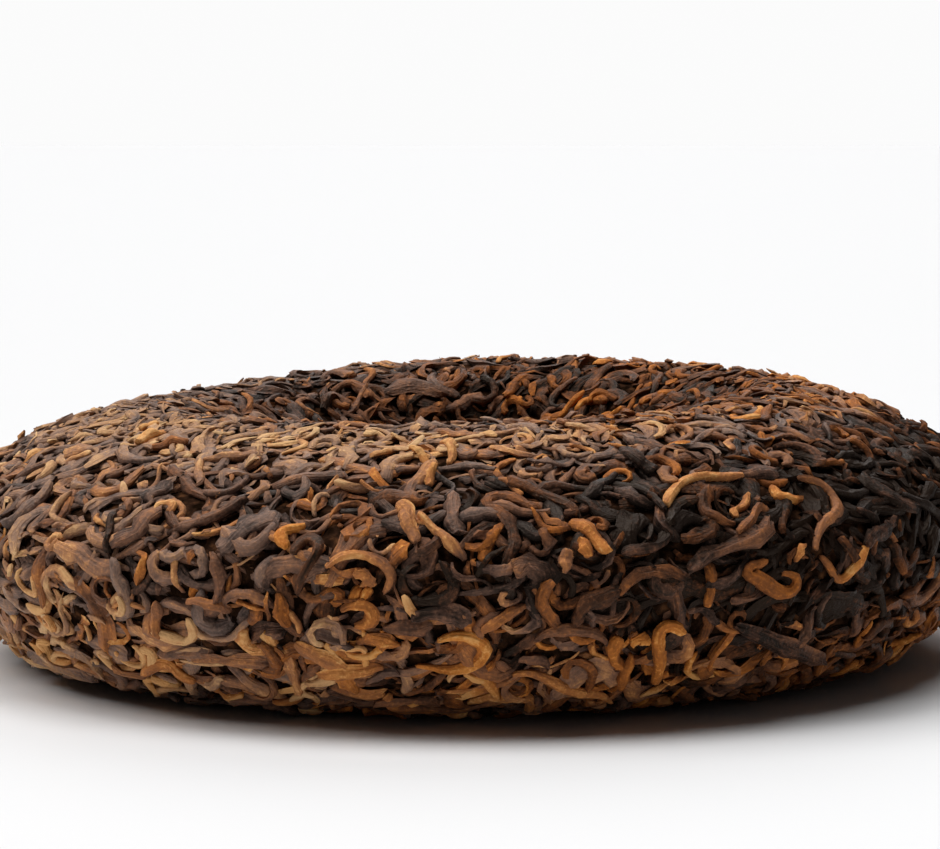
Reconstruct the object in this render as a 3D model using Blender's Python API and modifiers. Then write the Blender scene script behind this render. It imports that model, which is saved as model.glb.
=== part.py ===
"""A pressed disc of ripe tea leaves, lying with its dimpled side up.

The disc is a turned body whose thick rim is a little higher on its +X side. The body
stops just short of the pressed surface, and the largest leaves and buds are fused on
it at their real size, out to that surface. Everything below the resting plane is cut
away flat. Units are metres, +Z is up, and the origin is on the resting plane under
the middle of the disc.
"""

import bisect
import math
import random

import bmesh
import bpy
from mathutils import Matrix, Vector, noise

MM = 0.001

# The pressed surface, as a section through one side of the disc
DISC_RADIUS = 51.2 * MM
EQUATOR_HEIGHT = 15.2 * MM
CREST_RADIUS = 29.8 * MM
CREST_HEIGHT = 25.4 * MM
BASE_RADIUS = 38.8 * MM
SHOULDER_POWER = 1.45
UNDERSIDE_POWER = 1.9

# The dimple that the knot of the pressing cloth leaves
DIMPLE_WALL_RADIUS = 18.0 * MM
DIMPLE_WALL_HEIGHT = 17.4 * MM
DIMPLE_FLOOR_RADIUS = 9.0 * MM
DIMPLE_FLOOR_HEIGHT = 11.4 * MM
DIMPLE_LIP_POWER = 1.8

# How far the real disc is from a true turned one
SECTION_EASE = 2.5 * MM
LIFT_SHARE = 0.05
ROUND_FAULTS = ((2, 0.006, 1.1), (3, 0.004, 2.3), (5, 0.003, 0.7))

# The turned body under the leaves
CORE_STEPS = 48
CORE_POINTS = 24
TURN_REACH = 6.0 * MM
CORE_INSET = 1.2 * MM
FOOT_RADIUS = 15.0 * MM
FOOT_SLOPE_RADIUS = 24.0 * MM
FOOT_DEPTH = 0.7 * MM
RELIEF_HEIGHT = 0.9 * MM
RELIEF_PITCH = 3.6 * MM

# The leaves that are fused on
LEAF_SIDES = 4
LEAF_STATIONS = (-0.62, 0.0, 0.62)
LEAF_SEED = 11
GOLDEN_ANGLE = math.pi * (3 - math.sqrt(5))
LEAST_POLE_RADIUS = 5.0 * MM

TEA_BROWN = (0.055, 0.030, 0.018, 1.0)


class LeafKind:
    """The size range of one kind of leaf, and how far it bends in its own length."""

    def __init__(self, count, flat_topped, length, width, thickness, bend, end_share):
        self.count = count
        self.flat_topped = flat_topped
        self.length = length
        self.width = width
        self.thickness = thickness
        self.bend = bend
        self.end_share = end_share


LEAF_KINDS = (
    LeafKind(
        count=64,
        flat_topped=True,
        length=(11.0 * MM, 15.0 * MM),
        width=(2.4 * MM, 3.2 * MM),
        thickness=(2.0 * MM, 2.3 * MM),
        bend=(-0.7, 0.7),
        end_share=0.4,
    ),
    LeafKind(
        count=76,
        flat_topped=False,
        length=(8.5 * MM, 12.0 * MM),
        width=(2.2 * MM, 2.8 * MM),
        thickness=(2.0 * MM, 2.3 * MM),
        bend=(-3.0, 3.0),
        end_share=0.5,
    ),
)


def clear_scene():
    for obj in list(bpy.data.objects):
        bpy.data.objects.remove(obj)


def superellipse_quarter(start, end, centre, power, steps):
    """Points from start to end, which lie on the two axes through centre."""
    along_start = Vector(start) - Vector(centre)
    along_end = Vector(end) - Vector(centre)
    points = []
    for step in range(steps + 1):
        angle = 0.5 * math.pi * step / steps
        share_start = math.cos(angle) ** (2 / power)
        share_end = math.sin(angle) ** (2 / power)
        points.append(Vector(centre) + share_start * along_start + share_end * along_end)
    return points


class PressedSection:
    """The section of the pressed surface as (radius, height), measured by arc length.

    It starts at the middle of the dimple's floor, runs over the crest and round the
    rim, and ends at the middle of the base.
    """

    FINE_STEPS = 60
    EASE_STEP = 0.25 * MM
    NORMAL_REACH = 0.5 * MM

    def __init__(self):
        floor = (DIMPLE_FLOOR_RADIUS, DIMPLE_FLOOR_HEIGHT)
        wall = (DIMPLE_WALL_RADIUS, DIMPLE_WALL_HEIGHT)
        crest = (CREST_RADIUS, CREST_HEIGHT)
        equator = (DISC_RADIUS, EQUATOR_HEIGHT)
        base = (BASE_RADIUS, 0.0)
        stretches = (
            [Vector((0.0, DIMPLE_FLOOR_HEIGHT)), Vector(floor)],
            superellipse_quarter(floor, wall, (floor[0], wall[1]), 2.0, self.FINE_STEPS),
            superellipse_quarter(
                wall, crest, (crest[0], wall[1]), DIMPLE_LIP_POWER, self.FINE_STEPS
            ),
            superellipse_quarter(
                crest, equator, (crest[0], equator[1]), SHOULDER_POWER, self.FINE_STEPS
            ),
            superellipse_quarter(
                equator, base, (base[0], equator[1]), UNDERSIDE_POWER, self.FINE_STEPS
            ),
            [Vector(base), Vector((0.0, 0.0))],
        )
        self.measure([point for stretch in stretches for point in stretch])
        self.ease_corners()

    def measure(self, points):
        """Keeps the points and the arc length up to each, without doubled points."""
        self.points = [points[0]]
        self.lengths = [0.0]
        for point in points[1:]:
            step = (point - self.points[-1]).length
            if step > 0:
                self.points.append(point)
                self.lengths.append(self.lengths[-1] + step)

    def ease_corners(self):
        """Gives each point the mean place of the stretch around it."""
        count = round(self.length / self.EASE_STEP)
        eased = []
        for index in range(count + 1):
            distance = self.length * index / count
            reach = min(SECTION_EASE, distance, self.length - distance)
            steps = 8
            around = [self.point(distance + reach * side / steps) for side in range(-steps, steps + 1)]
            eased.append(sum(around, Vector((0.0, 0.0))) / len(around))
        self.measure(eased)

    @property
    def length(self):
        return self.lengths[-1]

    def point(self, distance):
        distance = min(max(distance, 0.0), self.length)
        after = max(1, bisect.bisect_left(self.lengths, distance))
        before = after - 1
        share = (distance - self.lengths[before]) / (self.lengths[after] - self.lengths[before])
        return self.points[before].lerp(self.points[after], share)

    def direction(self, distance):
        """The unit vector along the section, as (radius, height)."""
        ahead = self.point(distance + self.NORMAL_REACH)
        behind = self.point(distance - self.NORMAL_REACH)
        return (ahead - behind).normalized()

    def normal(self, distance):
        along = self.direction(distance)
        return Vector((-along.y, along.x))

    def distance_at_share_of_area(self, share, steps=400):
        """The arc length at which that share of the turned surface's area is passed."""
        areas = [0.0]
        for step in range(steps):
            radius = self.point(self.length * (step + 0.5) / steps).x
            areas.append(areas[-1] + radius)
        return self.length * bisect.bisect_left(areas, share * areas[-1]) / steps


def stations_closer_in_turns(section, last, count):
    """Distances from 0 to last, set closer where the section turns."""
    steps = 600
    efforts = [0.0]
    before = section.direction(0.0)
    for step in range(1, steps + 1):
        ahead = section.direction(last * step / steps)
        turn = abs(before.angle_signed(ahead))
        efforts.append(efforts[-1] + last / steps + TURN_REACH * turn)
        before = ahead
    return [
        last * bisect.bisect_left(efforts, efforts[-1] * index / count) / steps
        for index in range(count + 1)
    ]


def as_pressed(radius, azimuth, height):
    """The place in space of a point of the section, with the real disc's unevenness."""
    out_of_round = 1.0
    for count, share, phase in ROUND_FAULTS:
        out_of_round += share * math.sin(count * azimuth + phase)
    return Vector(
        (
            radius * out_of_round * math.cos(azimuth),
            radius * out_of_round * math.sin(azimuth),
            height * (1 + LIFT_SHARE * math.cos(azimuth) * radius / DISC_RADIUS),
        )
    )


def surface_point(section, distance, azimuth, rise):
    """A point that stands rise outside the pressed surface."""
    flat = section.point(distance) + rise * section.normal(distance)
    return as_pressed(max(flat.x, 0.0), azimuth, flat.y)


def mesh_of(obj):
    """The object's evaluated mesh, as one mesh of its own."""
    graph = bpy.context.evaluated_depsgraph_get()
    return bpy.data.meshes.new_from_object(obj.evaluated_get(graph))


def core_profile(section):
    """The turned body's section: the pressed one, moved in, with a foot in the middle."""
    foot_start = section.length - FOOT_SLOPE_RADIUS
    profile = []
    for distance in stations_closer_in_turns(section, foot_start, CORE_POINTS):
        profile.append(section.point(distance) - CORE_INSET * section.normal(distance))
    profile[0].x = 0.0
    halfway = 0.5 * (FOOT_RADIUS + FOOT_SLOPE_RADIUS)
    profile.append(Vector((halfway, 0.5 * (CORE_INSET - FOOT_DEPTH))))
    profile.append(Vector((FOOT_RADIUS, -FOOT_DEPTH)))
    profile.append(Vector((0.0, -FOOT_DEPTH)))
    return profile


def relief(place):
    """How far the leafy body stands out at a place: long low lumps of a leaf's width."""
    swirl = noise.noise(place / (4 * RELIEF_PITCH))
    turned = Matrix.Rotation(3 * swirl, 3, "Z") @ place
    stretched = Vector((turned.x / 2.2, turned.y, turned.z)) / RELIEF_PITCH
    return RELIEF_HEIGHT * noise.noise(stretched)


def make_core(section, collection):
    """Turns the body, then gives it its relief and the real disc's unevenness."""
    profile = core_profile(section)
    mesh = bpy.data.meshes.new("core_profile")
    edges = [(index, index + 1) for index in range(len(profile) - 1)]
    mesh.from_pydata([(point.x, 0.0, point.y) for point in profile], edges, [])
    turned = bpy.data.objects.new("core_profile", mesh)
    collection.objects.link(turned)
    screw = turned.modifiers.new("turn", "SCREW")
    screw.steps = CORE_STEPS
    screw.render_steps = CORE_STEPS
    screw.use_merge_vertices = True
    screw.merge_threshold = 0.00002

    core = bpy.data.objects.new("tea_cake", mesh_of(turned))
    collection.objects.link(core)
    bpy.data.objects.remove(turned)

    core.data.update()
    normals = [vertex.normal.copy() for vertex in core.data.vertices]
    for vertex, normal in zip(core.data.vertices, normals):
        radius = math.hypot(vertex.co.x, vertex.co.y)
        azimuth = math.atan2(vertex.co.y, vertex.co.x)
        on_foot = vertex.co.z < -0.9 * FOOT_DEPTH
        place = vertex.co + (0.0 if on_foot else relief(vertex.co)) * normal
        radius = math.hypot(place.x, place.y)
        vertex.co = as_pressed(radius, azimuth, place.z)
    return core


def make_leaf_blank(flat_topped):
    """A straight four-sided bar from -1 to 1 along X, with rings at its stations."""
    along_x = Matrix.Rotation(0.5 * math.pi, 4, "Y")
    if flat_topped:
        roll = Matrix.Rotation(math.pi / LEAF_SIDES, 4, "X")
        along_x = Matrix.Diagonal((1.0, math.sqrt(2), math.sqrt(2), 1.0)) @ roll @ along_x
    blank = bmesh.new()
    bmesh.ops.create_cone(
        blank,
        cap_ends=True,
        segments=LEAF_SIDES,
        radius1=1.0,
        radius2=1.0,
        depth=2.0,
        matrix=along_x,
    )
    for station in LEAF_STATIONS:
        bmesh.ops.bisect_plane(
            blank,
            geom=blank.verts[:] + blank.edges[:] + blank.faces[:],
            plane_co=(station, 0.0, 0.0),
            plane_no=(1.0, 0.0, 0.0),
        )
    mesh = bpy.data.meshes.new("leaf_blank")
    blank.to_mesh(mesh)
    blank.free()
    return mesh


def leaf_path(section, distance, azimuth, heading, length, bend, steps=24):
    """Walks a leaf's middle line over the pressed surface, from its centre both ways.

    It returns a function from -1..1 to (distance, azimuth, heading). The heading is 0
    along the section and a quarter turn along the rim. A straight walk keeps the
    shortest line on the turned surface, and bend turns it off that line.
    """
    pace = 0.5 * length / steps
    walks = []
    for way in (-1, 1):
        place = (distance, azimuth, heading)
        walk = [place]
        for _ in range(steps):
            place_distance, place_azimuth, place_heading = place
            radius = max(section.point(place_distance).x, LEAST_POLE_RADIUS)
            spread = section.direction(place_distance).x
            go_down = way * pace * math.cos(place_heading)
            go_round = way * pace * math.sin(place_heading)
            turn = -spread * go_round / radius + way * bend / (2 * steps)
            place = (
                place_distance + go_down,
                place_azimuth + go_round / radius,
                place_heading + turn,
            )
            walk.append(place)
        walks.append(walk)

    def at(share):
        walk = walks[0] if share < 0 else walks[1]
        return walk[round(abs(share) * steps)]

    return at


def shape_leaf(mesh, section, path, kind_end_share, width, thickness, fold):
    """Tapers the bar, folds it and lays it along its path, with its ends tucked in."""
    for vertex in mesh.vertices:
        share, across, up = vertex.co
        fullness = kind_end_share + (1 - kind_end_share) * math.sqrt(max(0.0, 1 - share**2))
        distance, azimuth, heading = path(share)
        tuck = 0.45 * thickness * share**4
        rise = 0.5 * thickness * (up * fullness - 1) - tuck + fold * thickness * abs(across)
        middle = surface_point(section, distance, azimuth, rise)
        beside = surface_point(
            section,
            distance - 0.5 * width * fullness * across * math.sin(heading),
            azimuth,
            rise,
        )
        radius = max(section.point(distance).x, LEAST_POLE_RADIUS)
        turned = 0.5 * width * fullness * across * math.cos(heading) / radius
        spun = Matrix.Rotation(turned, 3, "Z") @ beside
        vertex.co = spun if abs(across) > 1e-6 else middle


def scatter_leaves(section, collection):
    """Lays the leaves evenly by area, in a sunflower's order, kinds mixed in turn."""
    draw = random.Random(LEAF_SEED)
    blanks = {kind: make_leaf_blank(kind.flat_topped) for kind in LEAF_KINDS}
    kinds = [kind for kind in LEAF_KINDS for _ in range(kind.count)]
    draw.shuffle(kinds)
    for index, kind in enumerate(kinds):
        distance = section.distance_at_share_of_area((index + 0.5) / len(kinds))
        azimuth = index * GOLDEN_ANGLE
        length = draw.uniform(*kind.length)
        width = draw.uniform(*kind.width)
        thickness = draw.uniform(*kind.thickness)
        heading = draw.uniform(0.0, math.pi)
        bend = draw.uniform(*kind.bend)
        fold = draw.uniform(-0.12, 0.12)
        path = leaf_path(section, distance, azimuth, heading, length, bend)
        leaf = bpy.data.objects.new(f"leaf_{index:03d}", blanks[kind].copy())
        shape_leaf(leaf.data, section, path, kind.end_share, width, thickness, fold)
        collection.objects.link(leaf)
    for blank in blanks.values():
        bpy.data.meshes.remove(blank)


def apply_modifiers(obj):
    """Puts the object's evaluated mesh in its place, and drops its modifiers."""
    mesh = mesh_of(obj)
    obj.modifiers.clear()
    old = obj.data
    obj.data = mesh
    bpy.data.meshes.remove(old)


def fuse(core, leaves):
    """Joins the leaves to the body as one solid, then removes their objects."""
    union = core.modifiers.new("fuse_leaves", "BOOLEAN")
    union.operation = "UNION"
    union.operand_type = "COLLECTION"
    union.collection = leaves
    union.solver = "MANIFOLD"
    apply_modifiers(core)
    for leaf in list(leaves.objects):
        bpy.data.objects.remove(leaf)
    bpy.data.collections.remove(leaves)


def trim_below_rest(core, cutters):
    """Cuts off all that reaches below the resting plane, which leaves a flat foot."""
    bpy.ops.mesh.primitive_cube_add(size=1.0)
    slab = bpy.context.object
    slab.name = "slab_below_rest"
    depth = 10.0 * MM
    slab.data.transform(Matrix.Diagonal((3 * DISC_RADIUS, 3 * DISC_RADIUS, depth, 1.0)))
    slab.data.transform(Matrix.Translation((0.0, 0.0, -0.5 * depth)))
    for collection in list(slab.users_collection):
        collection.objects.unlink(slab)
    cutters.objects.link(slab)
    slab.hide_render = True
    slab.display_type = "WIRE"
    cut = core.modifiers.new("trim_foot", "BOOLEAN")
    cut.operation = "DIFFERENCE"
    cut.object = slab
    cut.solver = "MANIFOLD"
    apply_modifiers(core)


def keep_largest_shell(core):
    """Fills sealed hollows and drops loose scraps: only the outer shell stays.

    A hollow can touch the outer shell along one edge, so the search for a shell's faces
    doesn't cross an edge that more than two faces share.
    """
    shells = bmesh.new()
    shells.from_mesh(core.data)
    bmesh.ops.triangulate(shells, faces=shells.faces)
    unseen = set(shells.faces)
    largest = set()
    while unseen:
        shell = {unseen.pop()}
        front = list(shell)
        while front:
            face = front.pop()
            for edge in face.edges:
                if len(edge.link_faces) != 2:
                    continue
                for other in edge.link_faces:
                    if other in unseen:
                        unseen.discard(other)
                        shell.add(other)
                        front.append(other)
        if len(shell) > len(largest):
            largest = shell
    spare = [face for face in shells.faces if face not in largest]
    bmesh.ops.delete(shells, geom=spare, context="FACES")
    shells.to_mesh(core.data)
    shells.free()


def centre_on_origin(core):
    """Moves the disc so that the middle of its width and of its depth is at the origin."""
    across = [vertex.co.x for vertex in core.data.vertices]
    deep = [vertex.co.y for vertex in core.data.vertices]
    middle = Vector((min(across) + max(across), min(deep) + max(deep), 0.0)) / 2
    core.data.transform(Matrix.Translation(-middle))


def paint(core):
    material = bpy.data.materials.new("ripe_tea")
    material.use_nodes = True
    surface = material.node_tree.nodes["Principled BSDF"]
    surface.inputs["Base Color"].default_value = TEA_BROWN
    surface.inputs["Roughness"].default_value = 0.55
    surface.inputs["Metallic"].default_value = 0.0
    core.data.materials.clear()
    core.data.materials.append(material)
    core.data.shade_smooth()
    core.data.set_sharp_from_angle(angle=math.radians(28))


def main():
    clear_scene()
    parts = bpy.data.collections.new("pressed_tea")
    leaves = bpy.data.collections.new("leaves")
    cutters = bpy.data.collections.new("cutters")
    for collection in (parts, leaves, cutters):
        bpy.context.scene.collection.children.link(collection)
    section = PressedSection()
    core = make_core(section, parts)
    scatter_leaves(section, leaves)
    fuse(core, leaves)
    trim_below_rest(core, cutters)
    keep_largest_shell(core)
    centre_on_origin(core)
    paint(core)
    print(core.name, "has", len(core.data.polygons), "faces")


main()
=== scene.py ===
# %% [markdown]
# # A small cake of ripe tea
#
# A tea cake is several thousand rolled tea leaves, steamed and pressed in a cloth into a
# thick disc. The knot of the cloth leaves a dimple in the top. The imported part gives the
# disc as one plain solid. This lesson lays the real leaves over it: golden buds, brown and
# dark rolled and twisted leaves, broad folded leaves, thin stems, torn slivers and crumbs,
# each kind as one mesh.

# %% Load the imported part
import math
import random
from collections import namedtuple

import bpy
import numpy as np
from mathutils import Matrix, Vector


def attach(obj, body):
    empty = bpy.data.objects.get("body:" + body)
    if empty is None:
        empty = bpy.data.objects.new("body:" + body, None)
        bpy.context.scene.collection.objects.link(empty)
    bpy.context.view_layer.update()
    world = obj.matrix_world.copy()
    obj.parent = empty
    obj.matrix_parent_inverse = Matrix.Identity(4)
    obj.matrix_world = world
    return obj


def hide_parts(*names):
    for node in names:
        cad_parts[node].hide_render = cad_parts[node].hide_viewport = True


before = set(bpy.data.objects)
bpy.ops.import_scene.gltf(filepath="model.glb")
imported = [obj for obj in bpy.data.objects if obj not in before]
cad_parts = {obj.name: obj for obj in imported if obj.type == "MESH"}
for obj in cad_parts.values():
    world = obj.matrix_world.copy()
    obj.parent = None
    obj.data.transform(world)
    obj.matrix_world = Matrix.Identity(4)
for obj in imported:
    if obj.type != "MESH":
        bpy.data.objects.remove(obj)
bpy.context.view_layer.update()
MM = 0.001
print("packed nodes:", sorted(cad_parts))

# %% [markdown]
# ## The pressed surface
#
# Every leaf lies on one smooth surface, so that surface comes first. It is a section
# turned about the upright axis, with small faults that make it less than perfectly
# round, and a rim that is a little thicker at +X. The section could be drawn as a curve
# and sampled, but named radii and heights are easier to compare with the solid.

# %% The section of the disc
DISC_RADIUS = 51.2 * MM
EQUATOR_HEIGHT = 15.2 * MM
CREST_RADIUS = 29.8 * MM
CREST_HEIGHT = 25.4 * MM
BASE_RADIUS = 38.8 * MM
SHOULDER_POWER = 1.45
UNDERSIDE_POWER = 1.9
DIMPLE_WALL_RADIUS = 18.0 * MM
DIMPLE_WALL_HEIGHT = 17.4 * MM
DIMPLE_FLOOR_RADIUS = 9.0 * MM
DIMPLE_FLOOR_HEIGHT = 11.4 * MM
DIMPLE_FLOOR_POWER = 2.0
DIMPLE_LIP_POWER = 1.8


def superellipse_quarter(start, end, centre, power, steps=60):
    """Points from start to end, which lie on the two axes through centre."""
    angle = np.linspace(0, math.pi / 2, steps + 1)[:, None]
    start, end, centre = map(np.array, (start, end, centre))
    share_start = np.maximum(np.cos(angle), 0) ** (2 / power)
    share_end = np.sin(angle) ** (2 / power)
    return centre + share_start * (start - centre) + share_end * (end - centre)


def section_points():
    """The section from the middle of the dimple over the rim to the middle of the base."""
    floor = (DIMPLE_FLOOR_RADIUS, DIMPLE_FLOOR_HEIGHT)
    wall = (DIMPLE_WALL_RADIUS, DIMPLE_WALL_HEIGHT)
    crest = (CREST_RADIUS, CREST_HEIGHT)
    equator = (DISC_RADIUS, EQUATOR_HEIGHT)
    base = (BASE_RADIUS, 0.0)
    return np.concatenate(
        [
            [(0.0, DIMPLE_FLOOR_HEIGHT)],
            superellipse_quarter(floor, wall, (floor[0], wall[1]), DIMPLE_FLOOR_POWER),
            superellipse_quarter(wall, crest, (crest[0], wall[1]), DIMPLE_LIP_POWER)[1:],
            superellipse_quarter(crest, equator, (crest[0], equator[1]), SHOULDER_POWER)[1:],
            superellipse_quarter(equator, base, (base[0], equator[1]), UNDERSIDE_POWER)[1:],
            [(0.0, 0.0)],
        ]
    )


print("section points:", len(section_points()))


# %% Swells that hand pressing leaves
WIDEST = 50.0
SWELLS = (
    # (distance along the section, azimuth in degrees, reach, height), all lengths in mm
    (36.0, 10.0, 14.0, 0.52),
    (36.0, 45.0, 14.0, 0.55),
    (36.0, 70.0, 13.0, 0.67),
    (36.0, 95.0, 13.0, 0.85),
    (36.0, 120.0, 13.0, 0.20),
    (36.0, 150.0, 14.0, -0.40),
    (33.0, 215.0, 10.0, 0.20),
    (52.0, 250.0, 12.0, 0.20),
    (60.0, 300.0, 12.0, -0.20),
    (14.0, 90.0, 9.0, -0.30),
)


def swell(distance, azimuth):
    """Broad low mounds and hollows, as a rise of the surface."""
    rise = 0.0
    for along, degrees, reach, height in SWELLS:
        turn = azimuth - math.radians(degrees)
        around = 2 * min(along, WIDEST) * MM * np.sin(turn / 2)
        gap = ((distance - along * MM) ** 2 + around**2) / (reach * MM) ** 2
        rise = rise + height * MM * np.exp(-gap)
    return rise


print("swells:", len(SWELLS))

# %% The surface measured by arc length and azimuth
SECTION_EASE = 2.5 * MM
EASE_STEPS = 17
LIFT_SHARE = 0.05
ROUND_FAULTS = ((2, 0.006, 1.1), (3, 0.004, 2.3), (5, 0.003, 0.7))


class PressedSurface:
    """Turns (distance along the section, azimuth, rise) into places in space."""

    STEP = 0.1 * MM
    POLE_RADIUS = 4.0 * MM

    def __init__(self):
        station, points = self.measured(section_points())
        reach = np.minimum(SECTION_EASE, np.minimum(station, station[-1] - station))
        eased = np.zeros_like(points)
        for side in np.linspace(-1, 1, EASE_STEPS):
            for axis in (0, 1):
                eased[:, axis] += np.interp(station + side * reach, station, points[:, axis])
        self.station, points = self.measured(eased / EASE_STEPS)
        self.length = self.station[-1]
        self.radius, self.height = points.T
        along = np.gradient(points, self.station, axis=0)
        along /= np.linalg.norm(along, axis=1)[:, None]
        self.spread = along[:, 0]
        self.out_radius, self.out_height = -along[:, 1], along[:, 0]
        self.middle = np.zeros(3)
        azimuth, distance = np.meshgrid(np.linspace(0, 2 * math.pi, 721), self.station[::20])
        places = self.place(distance, azimuth, 0.0)
        low, high = places.min(axis=(0, 1)), places.max(axis=(0, 1))
        self.middle = (low + high) / 2 * (1, 1, 0)
        self.walk_radius = np.maximum(self.radius, self.POLE_RADIUS).tolist()
        self.walk_spread = self.spread.tolist()

    def measured(self, points):
        """The points again, an even arc length apart, and that length at each."""
        steps = np.linalg.norm(np.diff(points, axis=0), axis=1)
        points = np.concatenate([points[:1], points[1:][steps > 0]])
        length = np.concatenate([[0.0], np.cumsum(steps[steps > 0])])
        station = np.linspace(0, length[-1], round(length[-1] / self.STEP) + 1)
        even = np.stack([np.interp(station, length, points[:, axis]) for axis in (0, 1)], 1)
        return station, even

    def folded(self, distance, azimuth):
        """A line that crosses the axis goes on at the other side of it."""
        over = (distance < 0) | (distance > self.length)
        distance = np.abs(distance)
        distance = np.where(distance > self.length, 2 * self.length - distance, distance)
        return distance, azimuth + math.pi * over

    def at(self, values, distance):
        return np.interp(distance, self.station, values)

    def place(self, distance, azimuth, rise):
        distance, azimuth = self.folded(distance, azimuth)
        rise = rise + swell(distance, azimuth)
        radius = self.at(self.radius, distance) + rise * self.at(self.out_radius, distance)
        height = self.at(self.height, distance) + rise * self.at(self.out_height, distance)
        out_of_round = 1.0
        for count, share, phase in ROUND_FAULTS:
            out_of_round = out_of_round + share * np.sin(count * azimuth + phase)
        lifted = height * (1 + LIFT_SHARE * np.cos(azimuth) * radius / DISC_RADIUS)
        across = radius * out_of_round
        places = np.stack([across * np.cos(azimuth), across * np.sin(azimuth), lifted], -1)
        return places - self.middle


surface = PressedSurface()
print("section length, mm:", round(surface.length / MM, 1))

# %% [markdown]
# ## The camera
#
# The camera looks from just above the table with a long lens. It comes early, because a
# few leaves are laid where the picture shows them. With it, any place can be turned into
# a pixel, and a pixel on the near side of the cake into a spot on the pressed surface.

# %% Set the camera
CAMERA_DISTANCE = 0.3094
CAMERA_ELEVATION = math.radians(7.35)
AIM_HEIGHT = 12.8 * MM
AXIS_TILT = math.radians(5.74)
AXIS_TURN = math.radians(-0.094)
PICTURE_WIDTH, PICTURE_HEIGHT = 940, 849

scene = bpy.context.scene
camera_data = bpy.data.cameras.new("camera")
camera_data.lens = 121.3
camera_data.sensor_width = 36.0
camera_data.clip_start = 0.01
camera = bpy.data.objects.new("camera", camera_data)
camera.location = (
    0.0,
    -CAMERA_DISTANCE * math.cos(CAMERA_ELEVATION),
    AIM_HEIGHT + CAMERA_DISTANCE * math.sin(CAMERA_ELEVATION),
)
camera.rotation_euler = (math.pi / 2 - AXIS_TILT, 0.0, AXIS_TURN)
scene.collection.objects.link(camera)
scene.camera = camera
print("lens, mm:", camera_data.lens)


# %% From the picture to the surface
def seen_at(places):
    """The pixels at which places appear."""
    turned = np.array(camera.rotation_euler.to_matrix())
    local = (places - np.array(camera.location)) @ turned
    scale = camera_data.lens / camera_data.sensor_width * PICTURE_WIDTH / local[..., 2]
    across = PICTURE_WIDTH / 2 - scale * local[..., 0]
    down = PICTURE_HEIGHT / 2 + scale * local[..., 1]
    return np.stack([across, down], -1)


# The distances along the section, in mm, at which the near side is searched.
NEAR_BAND = (36.5, 80.0)
NEAR_SPOTS = np.stack(
    np.meshgrid(np.arange(*NEAR_BAND, 0.5) * MM, np.radians(np.arange(-178, -2, 1.0))), -1
)
NEAR_PIXELS = seen_at(surface.place(NEAR_SPOTS[..., 0], NEAR_SPOTS[..., 1], 0.0))
SPOT_STEPS = np.array([0.05 * MM, 0.001])
SPOT_ROUNDS = 4
SPOT_PACE = 0.8


def spot_under(pixel):
    """The spot on the near side, as (distance, azimuth), that appears at a pixel."""
    gap = np.linalg.norm(NEAR_PIXELS - pixel, axis=-1)
    spot = NEAR_SPOTS[np.unravel_index(np.argmin(gap), gap.shape)]
    for _ in range(SPOT_ROUNDS):
        around = spot + np.array([(0, 0), (1, 0), (0, 1)]) * SPOT_STEPS
        pixels = seen_at(surface.place(around[:, 0], around[:, 1], 0.0))
        slopes = (pixels[1:] - pixels[0]).T / SPOT_STEPS
        spot = spot + SPOT_PACE * np.linalg.solve(slopes, pixel - pixels[0])
        spot[0] = np.clip(spot[0], NEAR_BAND[0] * MM, NEAR_BAND[1] * MM)
    return spot


print("middle of the picture, in degrees:", round(math.degrees(spot_under((470, 560))[1]), 1))

# %% [markdown]
# ## Helpers for modelling by hand
#
# An operator acts on all that is selected. These few helpers deselect everything, select
# what lies at a place, and apply a modifier.


# %% Modelling helpers
def deselect_all():
    if bpy.context.object and bpy.context.object.mode != "OBJECT":
        bpy.ops.object.mode_set(mode="OBJECT")
    bpy.ops.object.select_all(action="DESELECT")


def select_vertices(obj, chosen):
    """In edit mode, selects exactly the vertices for which chosen(co) is true."""
    bpy.ops.object.mode_set(mode="OBJECT")
    mesh = obj.data
    for vertex in mesh.vertices:
        vertex.select = chosen(vertex.co)
    for edge in mesh.edges:
        edge.select = all(mesh.vertices[index].select for index in edge.vertices)
    for face in mesh.polygons:
        face.select = all(mesh.vertices[index].select for index in face.vertices)
    bpy.ops.object.mode_set(mode="EDIT")


def apply_modifier(obj, kind, **settings):
    """Adds one modifier with these settings and applies it."""
    bpy.context.view_layer.objects.active = obj
    modifier = obj.modifiers.new(kind.lower(), kind)
    for name, value in settings.items():
        setattr(modifier, name, value)
    bpy.ops.object.modifier_apply(modifier=modifier.name)


print("modelling helpers ready")

# %% [markdown]
# ## One rolled leaf
#
# A tea leaf rolls up as it dries: a thin tube with a seam, thickest in the middle,
# tapering to both ends and slightly twisted. It starts as a cylinder laid along X. Rings
# are bisected into it and scaled by hand, one line of vertices is pushed in as the
# seam, and a Twist and a Displace make it wither. It could be a curve with a bevel, but
# the seam needs vertices of its own.


# %% Add a cylinder and shape its rings
def add_cylinder_along_x(sides, stations):
    """A cylinder from -1 to 1 along X, of radius 1, with rings at the stations."""
    deselect_all()
    bpy.ops.mesh.primitive_cylinder_add(
        vertices=sides, radius=1.0, depth=2.0, end_fill_type="NGON", rotation=(0, math.pi / 2, 0)
    )
    bpy.ops.object.transform_apply(location=True, rotation=True, scale=True)
    obj = bpy.context.object
    bpy.ops.object.mode_set(mode="EDIT")
    for station in stations:
        bpy.ops.mesh.select_all(action="SELECT")
        bpy.ops.mesh.bisect(plane_co=(station, 0, 0), plane_no=(1, 0, 0))
    return obj


def scale_ring(obj, station, fullness, shift=(0.0, 0.0)):
    """Scales the ring at that station about the leaf's middle line, and shifts it."""
    select_vertices(obj, lambda co: abs(co.x - station) < 0.01)
    bpy.ops.transform.resize(value=(1, fullness, fullness), center_override=(station, 0, 0))
    bpy.ops.transform.translate(value=(0, *shift))


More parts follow.
